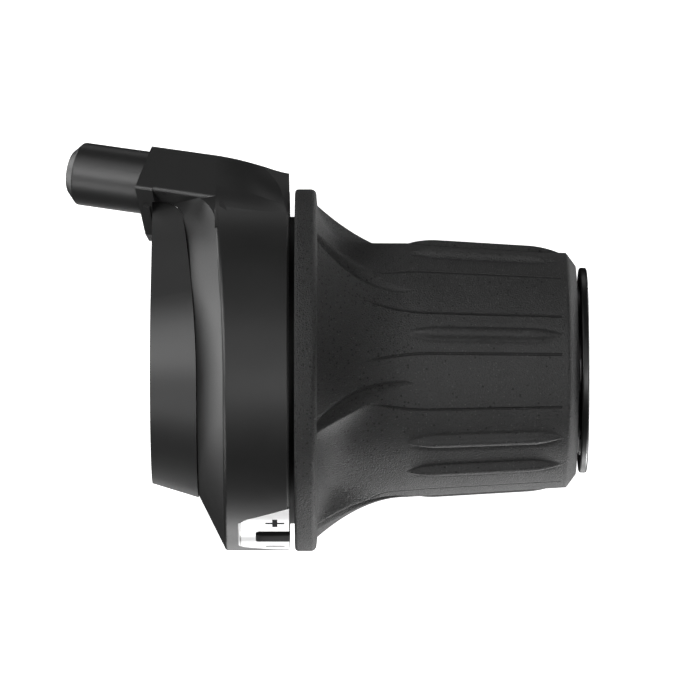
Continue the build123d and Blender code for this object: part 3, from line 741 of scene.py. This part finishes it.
def plates_piece(name, plates, finish, body):
    """One piece from several bent plates, riding on a body."""
    points = []
    faces = []
    for plate_points, plate_faces in plates:
        start = len(points)
        points.extend(plate_points)
        faces.extend([tuple(start + i for i in face) for face in plate_faces])
    mesh = bpy.data.meshes.new(name)
    mesh.from_pydata(points, [], faces)
    mesh.materials.append(finish)
    piece = bpy.data.objects.new(name, mesh)
    scene.collection.objects.link(piece)
    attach(piece, body)


# %% Plus and minus
film = 0.03 * mm
sign_x = -2.5 * mm
sign_length = 2.8 * mm
plus_angle = radians(-56.6)
minus_angle = radians(-75.4)


def stroke(angle, length, height):
    """Sign stroke centred on the window beside the slot."""
    half = height / window_radius / 2
    low = window_radius - film / 3
    return bent_plate(sign_x - length / 2, sign_x + length / 2, angle - half, angle + half, low, film)


plus = [stroke(plus_angle, sign_length, 0.35 * mm), stroke(plus_angle, 0.75 * mm, 2.0 * mm)]
minus = [stroke(minus_angle, sign_length, 0.45 * mm)]
plates_piece("plus_sign", plus, dark_ink, "housing")
plates_piece("minus_sign", minus, grey_ink, "housing")
print("signs at", round(sign_x / mm, 2), "mm")

# %% [markdown]
# ## Gear numbers
# The number ring under the window carries one number a gear. Flat text is made a mesh, cut
# into narrow bars and then bent about the bar, so that its strokes stay on the ring. The
# window shows the highest gear at rest, and turning the grip brings the lower numbers
# under it.

# %% Numbers on the ring
number_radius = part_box("number_ring")[1].z
gear_count = 7
gear_step = radians(12)
window_angle = radians(-66)
number_height = 2.7 * mm
letter_body = 1.4
number_x = -3.0 * mm


def cut_across(shape, height, steps=12):
    """Cut a flat mesh into bars, so that it can follow the ring when it is bent."""
    cut = bmesh.new()
    cut.from_mesh(shape)
    bmesh.ops.remove_doubles(cut, verts=cut.verts[:], dist=film / 50)
    for i in range(1, steps):
        everything = cut.verts[:] + cut.edges[:] + cut.faces[:]
        level = (0, height * (i / steps - 0.5), 0)
        bmesh.ops.bisect_plane(cut, geom=everything, plane_co=level, plane_no=(0, 1, 0))
    cut.to_mesh(shape)
    cut.free()


def flat_number(text, height):
    """Mesh of a number that lies flat, centred on the origin."""
    curve = bpy.data.curves.new("number", "FONT")
    curve.body = text
    curve.size = height * letter_body
    curve.align_x = "CENTER"
    curve.align_y = "CENTER"
    curve.resolution_u = 4
    curve.extrude = film / 2
    source = bpy.data.objects.new("number", curve)
    scene.collection.objects.link(source)
    graph = bpy.context.evaluated_depsgraph_get()
    shape = bpy.data.meshes.new_from_object(source.evaluated_get(graph))
    bpy.data.objects.remove(source)
    cut_across(shape, height)
    return shape


number_points = []
number_faces = []
for gear in range(gear_count):
    shape = flat_number(str(gear_count - gear), number_height)
    middle = window_angle + gear * gear_step
    start = len(number_points)
    for vertex in shape.vertices:
        angle = middle + vertex.co.y / number_radius
        radius = number_radius + film / 4 + vertex.co.z
        number_points.append(at_radius(number_x + vertex.co.x, radius, angle))
    number_faces.extend([tuple(start + i for i in face.vertices) for face in shape.polygons])
plates_piece("gear_numbers", [(number_points, number_faces)], white_ink, "grip")
print("numbers:", len(number_faces), "faces")

# %% [markdown]
# ## Bolt thread
# The clamp bolt shows its thread beyond the nut and between the clamp's ears. A thread
# follows a helix, so Geometry Nodes draw the helix as a spiral curve and sweep a small
# vee-shaped ring along it. The inputs are the bolt's sizes, and the result is made a plain
# mesh, because the export keeps no modifier.


# %% Thread tree
def thread_tree():
    """Geometry Nodes tree that sweeps a thread along a helix."""
    tree = bpy.data.node_groups.new("bolt_thread", "GeometryNodeTree")
    sizes = {"Radius": 0.002, "Pitch": 0.0007, "Turns": 3.0, "Ridge": 0.0002}
    for name, value in sizes.items():
        socket = tree.interface.new_socket(name, in_out="INPUT", socket_type="NodeSocketFloat")
        socket.default_value = value
    tree.interface.new_socket("Finish", in_out="INPUT", socket_type="NodeSocketMaterial")
    tree.interface.new_socket("Geometry", in_out="OUTPUT", socket_type="NodeSocketGeometry")
    start = tree.nodes.new("NodeGroupInput")
    end = tree.nodes.new("NodeGroupOutput")
    rise = tree.nodes.new("ShaderNodeMath")
    rise.operation = "MULTIPLY"
    helix = tree.nodes.new("GeometryNodeCurveSpiral")
    helix.inputs["Resolution"].default_value = 28
    ridge = tree.nodes.new("GeometryNodeCurvePrimitiveCircle")
    ridge.inputs["Resolution"].default_value = 4
    sweep = tree.nodes.new("GeometryNodeCurveToMesh")
    sweep.inputs["Fill Caps"].default_value = True
    realize = tree.nodes.new("GeometryNodeRealizeInstances")
    paint = tree.nodes.new("GeometryNodeSetMaterial")
    joins = [
        (start.outputs["Pitch"], rise.inputs[0]),
        (start.outputs["Turns"], rise.inputs[1]),
        (start.outputs["Turns"], helix.inputs["Rotations"]),
        (start.outputs["Radius"], helix.inputs["Start Radius"]),
        (start.outputs["Radius"], helix.inputs["End Radius"]),
        (rise.outputs[0], helix.inputs["Height"]),
        (start.outputs["Ridge"], ridge.inputs["Radius"]),
        (helix.outputs["Curve"], sweep.inputs["Curve"]),
        (ridge.outputs["Curve"], sweep.inputs["Profile Curve"]),
        (sweep.outputs["Mesh"], realize.inputs["Geometry"]),
        (realize.outputs["Geometry"], paint.inputs["Geometry"]),
        (start.outputs["Finish"], paint.inputs["Material"]),
        (paint.outputs["Geometry"], end.inputs["Geometry"]),
    ]
    for source, target in joins:
        tree.links.new(source, target)
    return tree


# %% Thread on the bolt
def grown_mesh(name, tree, inputs):
    """Plain mesh that a Geometry Nodes tree makes from named inputs."""
    seed = bpy.data.objects.new(name, bpy.data.meshes.new(name))
    scene.collection.objects.link(seed)
    modifier = seed.modifiers.new("tree", "NODES")
    modifier.node_group = tree
    for item in tree.interface.items_tree:
        if item.in_out == "INPUT" and item.name in inputs:
            modifier[item.identifier] = inputs[item.name]
    graph = bpy.context.evaluated_depsgraph_get()
    grown = bpy.data.meshes.new_from_object(seed.evaluated_get(graph))
    bpy.data.objects.remove(seed)
    return grown


bolt_low, bolt_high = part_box("clamp_bolt")
nut_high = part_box("clamp_nut")[1]
bolt_middle = (bolt_low + bolt_high) / 2
pitch = 0.7 * mm
thread_radius = 1.98 * mm
thread_ridge = 0.16 * mm
slit_half = 0.9 * mm
stretches = {"thread_end": (nut_high.y, bolt_high.y), "thread_slit": (-slit_half, slit_half)}
tree = thread_tree()
for name, (y0, y1) in stretches.items():
    turns = (y1 - y0) / pitch - 0.5
    inputs = {"Radius": thread_radius, "Pitch": pitch, "Turns": turns}
    inputs.update({"Ridge": thread_ridge, "Finish": bolt_finish})
    mesh = grown_mesh(name, tree, inputs)
    start = Matrix.Translation((bolt_middle.x, y0 + 0.25 * pitch, bolt_middle.z))
    mesh.transform(start @ Matrix.Rotation(-pi / 2, 4, "X"))
    piece = bpy.data.objects.new(name, mesh)
    scene.collection.objects.link(piece)
    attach(piece, "housing")
    print(name, len(mesh.polygons), "faces")

# %% [markdown]
# ## Floor finish
# The table's sheet is pale acrylic. A little of its own light keeps the ground white, and
# a soft cloud in its roughness keeps it from looking like a flat colour.

# %% Table finish
table = Finish("pale_acrylic")
table.set(Base_Color=table.grey(table.spread(table.grain(60 * mm, 2), 0.84, 0.88)))
table.set(Roughness=table.spread(table.grain(20 * mm, 2), 0.55, 0.65))
table.shader.inputs["Emission Color"].default_value = (1, 1, 1, 1)
table.shader.inputs["Emission Strength"].default_value = 0.9
floor.data.materials.append(table.material)
print("floor done")
